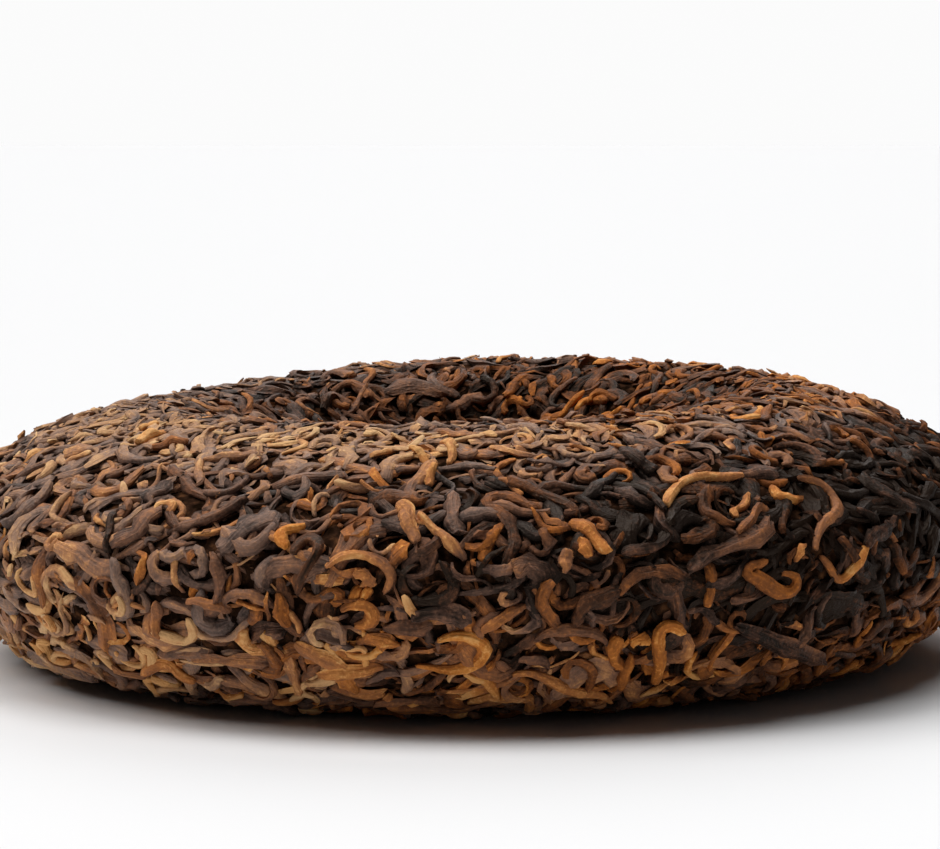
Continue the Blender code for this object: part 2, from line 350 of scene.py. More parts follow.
CLOSE_TO_SEAM = 0.93


def press_seam(obj, angle, depth):
    """Pushes one line of vertices towards the middle line."""
    target = Vector((math.cos(angle), math.sin(angle)))

    def on_seam(co):
        around = Vector((co.y, co.z))
        return around.length > 0.05 and around.normalized().dot(target) > CLOSE_TO_SEAM

    select_vertices(obj, on_seam)
    bpy.ops.transform.resize(value=(1, depth, depth), center_override=(0, 0, 0))


WRINKLE_SIZE = 0.55


def wither(obj, twist, strength):
    """Leaves edit mode, twists the leaf and wrinkles it a little."""
    bpy.ops.object.mode_set(mode="OBJECT")
    apply_modifier(
        obj, "SIMPLE_DEFORM", deform_method="TWIST", deform_axis="X", angle=math.radians(twist)
    )
    wrinkles = bpy.data.textures.new("wrinkles", "CLOUDS")
    wrinkles.noise_scale = WRINKLE_SIZE
    apply_modifier(obj, "DISPLACE", texture=wrinkles, strength=strength, mid_level=0.5)


print("ring helpers ready")

# %% Model one rolled leaf
Shape = namedtuple("Shape", "sides rings ends seam_depth twist wrinkle uneven")
END_RING = 0.94
TIP_SHARE = 0.50
BELLY_POWER = 2.2
TAPER_POWER = 0.65
SEAM_ANGLES = (0.2, 1.2)
RING_SHIFTS = (0.8, 0.5)


def fullness_at(station, belly, ends):
    """Full in the middle, narrower towards the ends and rounded at the tips."""
    side = -1 if station < belly else 1
    end = ends[0] if side < 0 else ends[1]
    if abs(station) == 1.0:
        return TIP_SHARE * end
    far = abs(station - belly) / (1 - side * belly)
    return end + (1 - end) * max(0.0, 1 - far**BELLY_POWER) ** TAPER_POWER


def rolled_leaf(name, seed, shape, belly, twist, ends, seam_depth):
    """One rolled leaf, 2 long and about 2 wide, as a mesh without its object."""
    draw = random.Random(seed)
    inner = shape.rings - 1
    stations = [-1 + 2 * step / inner for step in range(1, inner)]
    stations = [-END_RING, *stations, END_RING]
    obj = add_cylinder_along_x(shape.sides, stations)
    press_seam(obj, draw.uniform(*SEAM_ANGLES), seam_depth)
    for station in [-1.0, *stations, 1.0]:
        fullness = fullness_at(station, belly, ends)
        fullness *= draw.uniform(1 - shape.uneven, 1 + shape.uneven / 2)
        shift = [draw.uniform(-far, far) * shape.uneven for far in RING_SHIFTS]
        scale_ring(obj, station, fullness, shift)
    wither(obj, twist, shape.wrinkle)
    mesh = obj.data
    mesh.name = name
    bpy.data.objects.remove(obj)
    return mesh


print("the last ring of a leaf lies at:", END_RING)

# %% [markdown]
# ## Kinds of leaf
#
# The photo shows golden buds that curl like hooks, brown and dark leaves, some rolled and
# some tightly twisted, and broad leaves folded flat. Thin stems, torn slivers and crumbs
# lie between them. One master for a kind would look stamped, so each kind gets seven, and
# a range of real sizes, of bends in plan and of tones from dark (0) to pale gold (1).


# %% Masters of one shape
BELLIES = (-0.35, 0.35)


def masters_of(name, seed, shape, count=7):
    """Several masters of one shape, each with a belly and a twist of its own."""
    draw = random.Random(seed)
    made = []
    for index in range(count):
        belly = draw.uniform(*BELLIES)
        twist = draw.uniform(*shape.twist) * draw.choice((-1, 1))
        ends = (draw.uniform(*shape.ends), draw.uniform(*shape.ends))
        seam_depth = draw.uniform(*shape.seam_depth)
        title = f"{name}_{index}"
        made.append(rolled_leaf(title, seed + index, shape, belly, twist, ends, seam_depth))
    return made


SHAPES = {
    # sides, rings, spans of end fullness, seam depth and twist, wrinkles, unevenness
    "bud": Shape(6, 11, (0.12, 0.60), (0.7, 0.9), (0, 60), 0.2, 0.10),
    "roll": Shape(6, 10, (0.10, 0.55), (0.3, 0.7), (20, 140), 0.45, 0.15),
    "twist": Shape(6, 10, (0.15, 0.45), (0.25, 0.6), (120, 300), 0.5, 0.17),
    "broad": Shape(8, 8, (0.10, 0.50), (0.1, 0.5), (0, 60), 0.9, 0.24),
    "stem": Shape(4, 6, (0.4, 0.8), (0.9, 1.0), (0, 60), 0.3, 0.12),
    "sliver": Shape(4, 5, (0.10, 0.50), (0.5, 0.9), (0, 90), 0.6, 0.22),
    "crumb": Shape(5, 3, (0.3, 0.6), (0.6, 0.9), (0, 90), 0.8, 0.20),
    "smooth": Shape(8, 20, (0.12, 0.50), (0.6, 0.9), (0, 90), 0.25, 0.07),
}
print("shapes:", sorted(SHAPES))

# %% Describe the kinds
Kind = namedtuple("Kind", "name count length width roundness bend wave tone masters")
KIND_TABLE = (
    # name, count, length and width in mm, roundness, bend, wave, tone, shape, first seed
    ("broad_leaves", 680, (4.5, 10.0), (1.7, 3.3), (0.38, 0.62), (0.2, 1.6), 0.4, (0.16, 0.54), "broad", 100),
    ("dark_rolls", 980, (4.2, 9.6), (0.9, 2.0), (0.60, 0.95), (0.5, 3.2), 0.8, (0.12, 0.43), "roll", 200),
    ("dark_twists", 760, (4.0, 9.0), (0.7, 1.5), (0.70, 1.00), (0.7, 3.6), 0.9, (0.13, 0.46), "twist", 300),
    ("brown_rolls", 1060, (3.8, 8.6), (0.8, 1.8), (0.60, 0.95), (0.8, 3.8), 0.9, (0.34, 0.67), "roll", 400),
    ("brown_twists", 940, (3.8, 8.5), (0.6, 1.3), (0.70, 1.00), (1.0, 4.4), 1.0, (0.36, 0.72), "twist", 500),
    ("golden_buds", 900, (3.4, 7.6), (0.65, 1.35), (0.75, 1.00), (1.4, 5.2), 1.0, (0.62, 0.92), "bud", 600),
    ("stems", 560, (3.0, 8.0), (0.24, 0.48), (0.80, 1.00), (0.3, 2.2), 0.6, (0.25, 0.90), "stem", 700),
    ("slivers", 1300, (1.5, 4.2), (0.5, 1.3), (0.30, 0.55), (0.2, 1.8), 0.5, (0.20, 0.90), "sliver", 900),
    ("crumbs", 1400, (0.7, 2.4), (0.4, 1.2), (0.50, 0.80), (0.0, 0.6), 0.2, (0.15, 0.85), "crumb", 800),
)


def triangle_count(mesh):
    return sum(len(face.vertices) - 2 for face in mesh.polygons)


KINDS = []
for *ranges, shape_name, seed in KIND_TABLE:
    kind = Kind(*ranges, masters_of(shape_name, seed, SHAPES[shape_name]))
    KINDS.append(kind)
    print(kind.name, kind.count, "leaves of about", triangle_count(kind.masters[0]), "triangles")

# %% [markdown]
# ## Laying the leaves
#
# Pressed leaves lie over and under each other, with dark gaps between. Dropping them
# with a physics engine would take far too long, so a height map keeps the top of the
# heap over the whole surface. Each leaf looks at a few random spots, takes the lowest,
# rests on what is there, is pressed down to the outer surface, and raises the map.


# %% The height map
class HeightMap:
    """The top of the heap, in cells of equal area over the whole surface."""

    CELL = 0.3 * MM
    FEWEST_ROUND = 6

    def __init__(self, surface, start):
        self.surface = surface
        self.rows = math.ceil(surface.length / self.CELL)
        middles = (np.arange(self.rows) + 0.5) * self.CELL
        around = 2 * math.pi * surface.at(surface.radius, middles)
        self.counts = np.maximum(self.FEWEST_ROUND, np.ceil(around / self.CELL)).astype(int)
        self.starts = np.concatenate([[0], np.cumsum(self.counts)[:-1]])
        self.top = np.full(self.counts.sum(), start)

    def cells(self, distance, azimuth):
        distance, azimuth = self.surface.folded(distance, azimuth)
        row = np.clip((distance / self.CELL).astype(int), 0, self.rows - 1)
        turn = (azimuth / (2 * math.pi)) % 1.0
        last = self.counts[row] - 1
        return self.starts[row] + np.minimum((turn * self.counts[row]).astype(int), last)

    def spot(self, cell):
        """The middle of a cell, as (distance, azimuth)."""
        row = np.searchsorted(self.starts, cell, side="right") - 1
        turn = (cell - self.starts[row] + 0.5) / self.counts[row]
        return (row + 0.5) * self.CELL, 2 * math.pi * turn


CORE_DEPTH = 1.22 * MM
heap = HeightMap(surface, -CORE_DEPTH)
print("cells in the height map:", len(heap.top))

# %% Walk a leaf over the surface
WALK_STEPS = 26


def walk(distance, azimuth, heading, length, turning):
    """The leaf's middle line: (distance, azimuth, heading) at each of its stations.

    The heading is 0 along the section and a quarter turn along the rim. turning is how
    far the leaf has turned from its heading at each station.
    """
    half = WALK_STEPS // 2
    pace = length / WALK_STEPS
    line = np.zeros((WALK_STEPS + 1, 3))
    line[half] = distance, azimuth, heading
    for way in (-1, 1):
        place_distance, place_azimuth, carried = distance, azimuth, 0.0
        for step in range(1, half + 1):
            index = half + way * step
            course = heading + carried + turning[index]
            near = min(abs(place_distance), 2 * surface.length - place_distance)
            station = min(int(near / surface.STEP), len(surface.walk_radius) - 1)
            go_round = way * pace * math.sin(course) / surface.walk_radius[station]
            place_distance += way * pace * math.cos(course)
            place_azimuth += go_round
            carried -= surface.walk_spread[station] * go_round
            line[index] = place_distance, place_azimuth, course
    return line


SHARES = np.linspace(-1, 1, WALK_STEPS + 1)
HOOK_SHARE = 0.35
WAVES = (1.5, 3.0)


def drawn_turning(draw, bend, wave):
    """How a leaf turns along its length: an even bend, a hook at one end, and a wave."""
    hook = draw.uniform(-HOOK_SHARE, HOOK_SHARE) * bend
    phase = draw.uniform(0, 2 * math.pi)
    swing = draw.uniform(0, wave)
    waves = draw.uniform(*WAVES)
    turning = bend * SHARES / 2 + hook * SHARES * np.abs(SHARES)
    turning = turning + swing * (np.sin(waves * SHARES + phase) - math.sin(phase))
    return turning


print("stations in a walk:", WALK_STEPS + 1)

# %% Rest a leaf on the heap
ACROSS = np.array([-0.85, -0.45, 0.0, 0.45, 0.85])
FULLNESS = 0.35 + 0.65 * np.sqrt(np.maximum(0, 1 - np.abs(SHARES) ** 2.6))
PRESSED_TOP = 0.30 * MM
TOP_SCATTER = 0.12 * MM
FLAT_BELOW = 3.0 * MM
SINK_SHARE = 0.4
BED_REACH = 3
PRESS_REACH = 2
CROWN = 0.8


def beside(line, offset):
    """Places beside the leaf's middle line, offset to its left."""
    heading = line[..., 2]
    distance = line[..., 0] - offset * np.sin(heading)
    near, _ = surface.folded(line[..., 0], 0.0)
    radius = np.maximum(surface.at(surface.radius, near), surface.POLE_RADIUS)
    return distance, line[..., 1] + offset * np.cos(heading) / radius


def smoothed(values, reach):
    padded = np.pad(values, reach, mode="edge")
    return np.convolve(padded, np.ones(2 * reach + 1) / (2 * reach + 1), mode="valid")


def rest(line, width, thickness, top_limit, tuck, tilt):
    """The height of the leaf's lower side along it, once it rests and is pressed."""
    offsets = ACROSS[None, :] * (width / 2 * FULLNESS)[:, None]
    distance, azimuth = beside(line[:, None, :], offsets)
    cells = heap.cells(distance, azimuth)
    under = heap.top[cells]
    lower = smoothed(0.5 * under.max(axis=1) + 0.5 * under.mean(axis=1), BED_REACH)
    lower = lower - SINK_SHARE * thickness * FULLNESS + tilt * SHARES
    near, _ = surface.folded(line[:, 0], 0.0)
    share_flat = np.clip(surface.at(surface.height, near) / FLAT_BELOW, 0, 1)
    limit = top_limit * share_flat - thickness * FULLNESS
    lower = smoothed(np.minimum(lower, limit), PRESS_REACH) - tuck * np.abs(SHARES) ** 3
    tops = lower[:, None] + thickness * FULLNESS[:, None] * np.sqrt(1 - CROWN * ACROSS**2)
    heap.top[cells] = np.maximum(under, tops)
    return lower


print("places across a leaf:", len(ACROSS))

# %% Find a spot and a size for a leaf
LOOK_AHEAD = 1.6 * MM


def lowest_spot(draw_cells, tries, heading):
    """Of a few random spots, the one where the heap is lowest around it."""
    cells = draw_cells(tries)
    distance, azimuth = heap.spot(cells)
    radius = np.maximum(surface.at(surface.radius, distance), surface.POLE_RADIUS)
    seen = np.zeros(tries)
    for ahead in (-LOOK_AHEAD, 0.0, LOOK_AHEAD):
        seen += heap.top[
            heap.cells(
                distance + ahead * math.cos(heading),
                azimuth + ahead * math.sin(heading) / radius,
            )
        ]
    best = int(np.argmin(seen))
    return float(distance[best]), float(azimuth[best])


def drawn_size(draw, span):
    """A draw from a span of sizes in mm, in which the larger ones are rarer."""
    low, high = span
    return (low + (high - low) * draw.random() ** 1.5) * MM


print("a leaf looks ahead, mm:", LOOK_AHEAD / MM)

# %% [markdown]
# ## The mixture over the cake, and painted light
#
# A cake isn't one even mixture. Fine leaf is kept for its face and coarse leaf goes on its
# back. The tones also hold painted light and shade: the crest is brighter, partly paler leaf
# and partly a painted highlight, the left and the low rim are brighter as painted light, and
# the front right and the dimple are darker as painted shade. The top and the left are
# greyer, the top partly by dust and partly by painted sheen. Smooth bumps along the section
# and round the axis blend that without an edge.

# %% Where the cake is fine, and where light, shade and sheen are painted
MIDDLE_TONE = 0.5
DIMPLE_LIP = 33.5 * MM
LIP_BLEND = 1.0 * MM
POLE_REACH = 30 * MM


def bump(distance, middle, reach):
    """1 at the middle and nearly 0 at twice the reach from it. Both are given in mm."""
    return math.exp(-(((distance - middle * MM) / (reach * MM)) ** 2))


def in_dimple(distance):
    return 1 / (1 + math.exp((distance - DIMPLE_LIP) / LIP_BLEND))


def facing(azimuth, degrees):
    """1 in that direction, and 0 from a quarter turn away on."""
    return max(0.0, math.cos(azimuth - math.radians(degrees)))


def tone_with_painted_light(tone, distance, azimuth):
    """A leaf's tone, evened at its spot and shifted there by painted light and shade."""
    crest, rim, low = bump(distance, 41, 7), bump(distance, 58, 16), bump(distance, 72, 6)
    dimple = in_dimple(distance)
    right, left = facing(azimuth, -38) ** 3, facing(azimuth, -150) ** 2
    near = max(0.0, -math.sin(azimuth)) ** 2
    # Painted light and shade: the crest is brighter, more so on the near side, partly paler leaf and partly a
    # painted highlight; the left and the low rim are brighter as painted light; the front right and the
    # dimple are darker as painted shade.
    shift = (0.35 + 0.14 * near + 0.07 * math.cos(azimuth)) * crest - 0.01
    shift += (0.23 * left - 0.48 * right - 0.01) * rim + 0.31 * low - 0.04 * dimple
    evenness = 0.42 * crest + 0.30 * dimple + 0.20 * rim * left
    return MIDDLE_TONE + (tone - MIDDLE_TONE) * (1 - evenness) + shift


def sideways(distance, azimuth):
    """From -1 at the left to 1 at the right, even through the middle of both faces."""
    off_axis = min(1.0, distance / POLE_REACH, (surface.length - distance) / POLE_REACH)
    return math.cos(azimuth) * max(0.0, off_axis)


def dust_and_sheen_shift(distance, azimuth):
    """The top is greyer than the rim, by dust and painted sheen; the left is greyer than the right, and the
    dimple less grey.
    """
    top, dimple = bump(distance, 41, 8), in_dimple(distance)
    return 0.60 * top - 0.35 * dimple - 0.52 * sideways(distance, azimuth) - 0.15


def on_face(distance):
    return bump(distance, 38, 9)


def size_share(distance):
    """The finest leaf goes on the face of a cake, and the coarsest on its back."""
    back = min(1.0, max(0.0, (distance - 80 * MM) / (5 * MM)))
    return 0.96 - 0.26 * on_face(distance) + 0.38 * back


near_crest = tone_with_painted_light(MIDDLE_TONE, 41 * MM, -math.pi / 2)
print("tone of a middling leaf on the near crest:", round(near_crest, 2))

# %% Lay all the leaves
LEAF_SEED = 20
SPOT_TRIES = 12
# Low on the rim, a share of the leaves is turned so that they run along it.
EDGE_BAND = (63 * MM, 80 * MM)
EDGE_SHARE = 0.4
EDGE_SCATTER = 0.35
# How far a leaf's tips dip, and how far it leans from end to end, both in mm.
TUCKS = (0.1, 0.6)
TILT = 0.45
FADE = 0.25
FLATTER_FACE = 0.3
CLEAN_GOLD = 0.5
GOLD_FROM = 0.55
LAID_LATER = {"broad_leaves": -0.2, "golden_buds": 0.12, "stems": 0.15, "slivers": 0.2}
Leaf = namedtuple("Leaf", "kind line lower width thickness top master tone fade dust")


def lay_leaves():
    """Lays every kind, mixed in a shuffled order, the broad leaves mostly first."""
    draw = random.Random(LEAF_SEED)
    cell_draw = np.random.default_rng(LEAF_SEED)
    order = []
    for kind in KINDS:
        early = LAID_LATER.get(kind.name, 0.0)
        order += [(draw.random() + early, index, kind) for index in range(kind.count)]
    order.sort(key=lambda entry: entry[:2])
    laid = []
    for _, _, kind in order:
        heading = draw.uniform(0, math.pi)
        distance, azimuth = lowest_spot(
            lambda tries: cell_draw.integers(0, len(heap.top), tries), SPOT_TRIES, heading
        )
        if EDGE_BAND[0] < distance < EDGE_BAND[1] and draw.random() < EDGE_SHARE:
            heading = math.pi / 2 + draw.gauss(0, EDGE_SCATTER)
        share = size_share(distance)
        length = draw.uniform(*kind.length) * share * MM
        width = drawn_size(draw, kind.width) * share
        thickness = width * draw.uniform(*kind.roundness)
        thickness *= 1 - FLATTER_FACE * on_face(distance)
        bend = draw.choice((-1, 1)) * draw.uniform(*kind.bend)
        turning = drawn_turning(draw, bend, kind.wave)
        line = walk(distance, azimuth, heading, length, turning)
        top_limit = PRESSED_TOP + draw.uniform(-1, 1) * TOP_SCATTER
        tuck = draw.uniform(*TUCKS) * MM
        tilt = draw.uniform(-TILT, TILT) * MM
        lower = rest(line, width, thickness, top_limit, tuck, tilt)
        tone = draw.uniform(*kind.tone)
        # Random dust, plus the greying of the leaf's spot, which on the top is partly painted sheen.
        dust = draw.random() + dust_and_sheen_shift(distance, azimuth)
        dust -= CLEAN_GOLD * max(0.0, tone - GOLD_FROM)
        master = draw.choice(kind.masters)
        # The spot's painted light and shade shift the leaf's tone, and even it.
        tone = tone_with_painted_light(tone, distance, azimuth)
        fade = draw.uniform(-FADE, FADE)
        laid.append(
            Leaf(kind, line, lower, width, thickness, top_limit, master, tone, fade, dust)
        )
    return laid


leaves = lay_leaves()
print("leaves laid:", len(leaves), "; mean top of the heap, mm:", round(heap.top.mean() / MM, 2))

# %% [markdown]
# ## Leaves that catch the eye
#
# The mixture is random, but some curled buds and large leaves at the front make this
# cake the one it is. They are laid last, each along a route read from the picture, and all
# but the broad ones get smoother masters, because one sees them well.

# %% Routes of the leaves that catch the eye
EYE_CATCHERS = (
    # kind, width in mm, tone, how the tone changes to the end, dust, the route's pixels
    ("golden_buds", 1.2, 0.84, 0.05, 0.0, ((411, 671), (430, 668), (446, 674), (466, 673), (479, 666),
     (489, 656), (486, 646), (473, 640), (458, 636), (443, 640), (431, 645))),
    ("golden_buds", 0.96, 0.92, -0.05, 0.1, ((463, 676), (473, 683), (486, 683), (494, 693), (499, 704))),
    ("golden_buds", 1.08, 0.58, 0.0, 0.2, ((481, 631), (496, 621), (513, 615), (529, 608))),
    ("brown_rolls", 0.96, 0.74, 0.05, 0.2, ((509, 676), (526, 674), (542, 679), (559, 686), (576, 691),
     (596, 694), (609, 701), (612, 711))),
    ("dark_rolls", 1.08, 0.36, 0.0, 0.3, ((533, 645), (546, 636), (566, 631), (589, 633), (605, 641),
     (610, 653))),
    ("broad_leaves", 2.0, 0.18, 0.05, 0.5, ((410, 618), (430, 615), (451, 618), (473, 623))),
    ("dark_rolls", 1.44, 0.32, 0.0, 0.3, ((380, 631), (405, 630), (435, 625))),
    ("golden_buds", 1.5, 0.76, -0.04, -0.3, ((683, 636), (678, 627), (666, 625), (657, 634), (658, 648),
     (661, 664), (659, 678), (656, 690))),
    ("golden_buds", 1.08, 0.80, 0.0, -0.2, ((633, 650), (639, 641), (651, 641))),
    ("golden_buds", 1.38, 0.70, 0.0, -0.3, ((622, 639), (614, 651), (616, 663), (626, 672))),
    ("golden_buds", 1.08, 0.66, 0.0, 0.0, ((634, 657), (628, 667), (625, 680), (619, 692))),
    ("brown_rolls", 1.08, 0.77, -0.08, 0.3, ((665, 506), (670, 490), (686, 478), (711, 473), (748, 473))),
    ("brown_rolls", 1.2, 0.32, 0.05, 0.1, ((709, 488), (703, 500), (709, 513), (723, 519), (739, 518))),
    ("brown_twists", 0.96, 0.88, 0.0, 0.3, ((739, 514), (736, 505), (748, 498), (751, 488))),
    ("brown_twists", 0.96, 0.49, 0.0, 0.2, ((773, 506), (758, 503), (754, 518), (736, 533))),
    ("broad_leaves", 2.0, 0.32, 0.12, 0.3, ((686, 571), (706, 561), (723, 546), (746, 538), (766, 533),
     (774, 514))),
    ("golden_buds", 1.26, 0.55, -0.04, 0.0, ((773, 559), (764, 566), (746, 569), (751, 577), (764, 582),
     (774, 592), (789, 594), (799, 584), (797, 573), (779, 574))),
    ("golden_buds", 0.96, 0.76, 0.0, 0.1, ((826, 554), (836, 568), (840, 581), (847, 586), (850, 574),
     (860, 561), (869, 546), (879, 529))),
    ("stems", 0.72, 0.72, 0.0, 0.2, ((801, 564), (802, 546), (811, 543))),
    ("brown_rolls", 1.08, 0.57, 0.05, 0.3, ((794, 476), (811, 480), (827, 486), (839, 496), (842, 511),
     (826, 519), (819, 536), (817, 554))),
    ("brown_rolls", 1.08, 0.75, -0.05, 0.1, ((773, 478), (782, 488), (794, 493), (807, 493))),
    ("golden_buds", 1.56, 0.79, 0.0, 0.1, ((569, 516), (585, 523), (600, 537), (612, 554))),
    ("golden_buds", 1.2, 0.72, 0.0, 0.1, ((580, 536), (586, 546), (591, 557))),
    ("golden_buds", 1.2, 0.64, 0.0, 0.4, ((567, 546), (568, 560), (566, 575))),
    ("brown_rolls", 1.08, 0.71, -0.05, 0.4, ((417, 514), (439, 529), (457, 546), (466, 559))),
    ("golden_buds", 1.5, 0.66, -0.05, 0.4, ((396, 502), (407, 507), (409, 525), (417, 543))),
    ("brown_twists", 0.96, 0.94, 0.0, 0.4, ((439, 434), (451, 437), (453, 448), (448, 457))),
    ("golden_buds", 0.96, 0.80, 0.0, 0.3, ((428, 480), (431, 471), (434, 462))),
    ("dark_rolls", 2.0, 0.06, 0.0, 0.4, ((623, 443), (639, 459), (659, 466))),
    ("brown_rolls", 0.96, 0.73, 0.0, 0.3, ((324, 570), (332, 560), (347, 554), (366, 553), (383, 560),
     (391, 574), (389, 590), (378, 600))),
    ("broad_leaves", 1.8, 0.78, 0.0, 0.2, ((354, 570), (364, 576), (372, 590))),
    ("golden_buds", 1.08, 0.79, 0.0, 0.0, ((306, 523), (290, 525), (281, 531), (281, 541), (288, 550))),
    ("dark_twists", 1.08, 0.16, 0.0, 0.1, ((292, 558), (297, 542), (306, 533), (316, 537), (319, 549),
     (313, 562), (303, 576), (293, 600))),
    ("broad_leaves", 2.0, 0.12, 0.0, 0.3, ((735, 625), (760, 640), (790, 652), (826, 664))),
    ("broad_leaves", 2.4, 0.04, 0.0, 0.3, ((862, 470), (880, 485), (905, 500), (925, 505))),
    ("broad_leaves", 2.2, 0.09, 0.0, 0.3, ((866, 545), (882, 530), (900, 518))),
    ("broad_leaves", 3.0, 0.28, 0.05, 0.9, ((215, 548), (238, 532), (258, 516), (270, 500))),
    ("golden_buds", 1.44, 1.00, 0.0, 0.3, ((136, 440), (150, 430), (165, 424))),
    ("golden_buds", 1.2, 0.64, 0.0, 0.2, ((150, 442), (170, 437), (187, 437))),
    ("golden_buds", 0.96, 1.00, 0.0, 0.3, ((138, 424), (148, 420), (158, 419))),
    ("broad_leaves", 2.6, 0.38, 0.1, 0.5, ((110, 547), (130, 531), (150, 515), (165, 505))),
    ("broad_leaves", 2.0, 0.26, 0.0, 0.9, ((141, 496), (155, 486), (166, 477))),
    ("golden_buds", 0.84, 0.80, 0.0, 0.1, ((132, 549), (142, 554), (136, 572), (132, 589))),
    ("brown_rolls", 1.08, 0.52, 0.0, 0.3, ((184, 603), (201, 601), (218, 607), (227, 618))),
    ("brown_rolls", 1.08, 0.60, 0.0, 0.3, ((157, 603), (153, 620), (159, 639))),
    ("brown_rolls", 1.2, 0.68, 0.0, 0.2, ((140, 674), (159, 668), (178, 677), (197, 685))),
    ("dark_twists", 0.84, 0.02, 0.0, 0.2, ((104, 553), (107, 530), (113, 507))),
    ("golden_buds", 1.7, 0.65, 0.05, 0.3, ((292, 645), (310, 650), (330, 662), (347, 672))),
    ("golden_buds", 1.68, 0.78, 0.0, 0.2, ((315, 678), (335, 671), (360, 676), (385, 673))),
    ("golden_buds", 1.32, 0.56, 0.0, -0.2, ((276, 594), (280, 612), (287, 630))),
    ("golden_buds", 1.2, 0.69, 0.0, 0.1, ((338, 616), (350, 607), (366, 606), (374, 616), (366, 628),
     (350, 630))),
)
print("leaves that catch the eye:", len(EYE_CATCHERS))

# %% Lay the leaves that catch the eye
PROUD_TOP = 0.55 * MM
CATCHER_THICKNESS = 1.1 * MM
CATCHER_TUCK = 0.15 * MM
ROUTE_REACH = 2
SMOOTH_MASTERS = masters_of("smooth", 1000, SHAPES["smooth"])


def traced(pixels):
    """The line of a leaf that appears along these pixels, as a walk would give it."""
    spots = np.array([spot_under(pixel) for pixel in pixels])
    gaps = np.linalg.norm(np.diff(np.array(pixels), axis=0), axis=1)
    length = np.concatenate([[0.0], np.cumsum(gaps)])
    stations = np.linspace(0, length[-1], WALK_STEPS + 1)
    line = np.zeros((WALK_STEPS + 1, 3))
    for axis in (0, 1):
        line[:, axis] = smoothed(np.interp(stations, length, spots[:, axis]), ROUTE_REACH)
    around = np.gradient(line[:, 1]) * surface.at(surface.radius, line[:, 0])
    line[:, 2] = np.unwrap(np.arctan2(around, np.gradient(line[:, 0])))
    return line


def lay_eye_catchers():
    kinds = {kind.name: kind for kind in KINDS}
    laid = []
    for index, (name, width, tone, fade, dust, pixels) in enumerate(EYE_CATCHERS):
        line, width = traced(pixels), width * MM
        thickness = min(CATCHER_THICKNESS, width)
        lower = rest(line, width, thickness, PROUD_TOP, CATCHER_TUCK, 0.0)
        masters = kinds[name].masters if name == "broad_leaves" else SMOOTH_MASTERS
        master = masters[index % len(masters)]
        laid.append(
            Leaf(kinds[name], line, lower, width, thickness, PROUD_TOP, master, tone, fade, dust)
        )
    return laid


leaves += lay_eye_catchers()
print("leaves in all:", len(leaves))

# %% [markdown]
# ## From master to leaf
#
# Each leaf is a copy of a master, bent along its own line on the surface. A curve modifier
# per leaf would do the same, but more than eight thousand of them are slow, so the
# vertices are moved with numpy, and every kind is joined as one mesh.


# %% Bend the masters along their lines
PRESSED_SHARE = 0.20
MEAN_RADIUS = 40


def vertices_of(mesh):
    places = np.empty(3 * len(mesh.vertices))
    mesh.vertices.foreach_get("co", places)
    return places.reshape(-1, 3)


def bent(leaf, places, draw):
    """The master's vertices, made uneven and laid along the line, and how high they lie."""
    along, across, up = places.T
    phase = [draw.uniform(0, 2 * math.pi) for _ in range(6)]
    swelling = 1 + 0.15 * np.sin(draw.uniform(2, 4) * along + phase[0])
    swelling += 0.06 * np.sin(draw.uniform(6, 9) * along + phase[1])
    across = across * swelling + 0.12 * np.sin(draw.uniform(3, 6) * along + phase[2])
    up = up + 0.14 * np.sin(draw.uniform(3, 6) * along + 1.5 * across + phase[3])
    station = np.clip((along + 1) / 2, 0, 1) * WALK_STEPS
    before = np.minimum(station.astype(int), WALK_STEPS - 1)
    share = (station - before)[:, None]
    line = leaf.line[before] * (1 - share) + leaf.line[before + 1] * share
    lower = leaf.lower[before] * (1 - share[:, 0]) + leaf.lower[before + 1] * share[:, 0]
    distance, azimuth = beside(line, across * leaf.width / 2)
    rise = lower + (up + 1) / 2 * leaf.thickness
    rise = np.where(rise > leaf.top, leaf.top + PRESSED_SHARE * (rise - leaf.top), rise)
    spots = surface.place(distance, azimuth, rise)
    spots[:, 2] = np.maximum(spots[:, 2], 0.0)
    return spots, rise


def fibres_of(leaf, places):
    """Distance along and around the leaf in mm, and a number of the leaf's own."""
    around = np.arctan2(places[:, 1], places[:, 2] + 0.3)
    own = np.full(len(places), 100 * (leaf.tone + leaf.width))
    length = np.ptp(leaf.line[:, 0]) + np.ptp(leaf.line[:, 1]) * MEAN_RADIUS * MM
    return np.stack([places[:, 0] * length / 2 / MM, around * leaf.width / 2 / MM, own], 1)


print("leaves to bend:", len(leaves))

# %% Join every kind
EDGE_TONE = (-0.15, 0.30)
EDGE_FROM = 0.3
FOLD_ANGLE = 75
# Painted shade: where a leaf lies lower than this, its tone darkens over this reach, by up to this much.
GAP_SHADE_FROM = -0.15 * MM
GAP_SHADE_REACH = 0.9 * MM
GAP_SHADE_TONE = 0.36


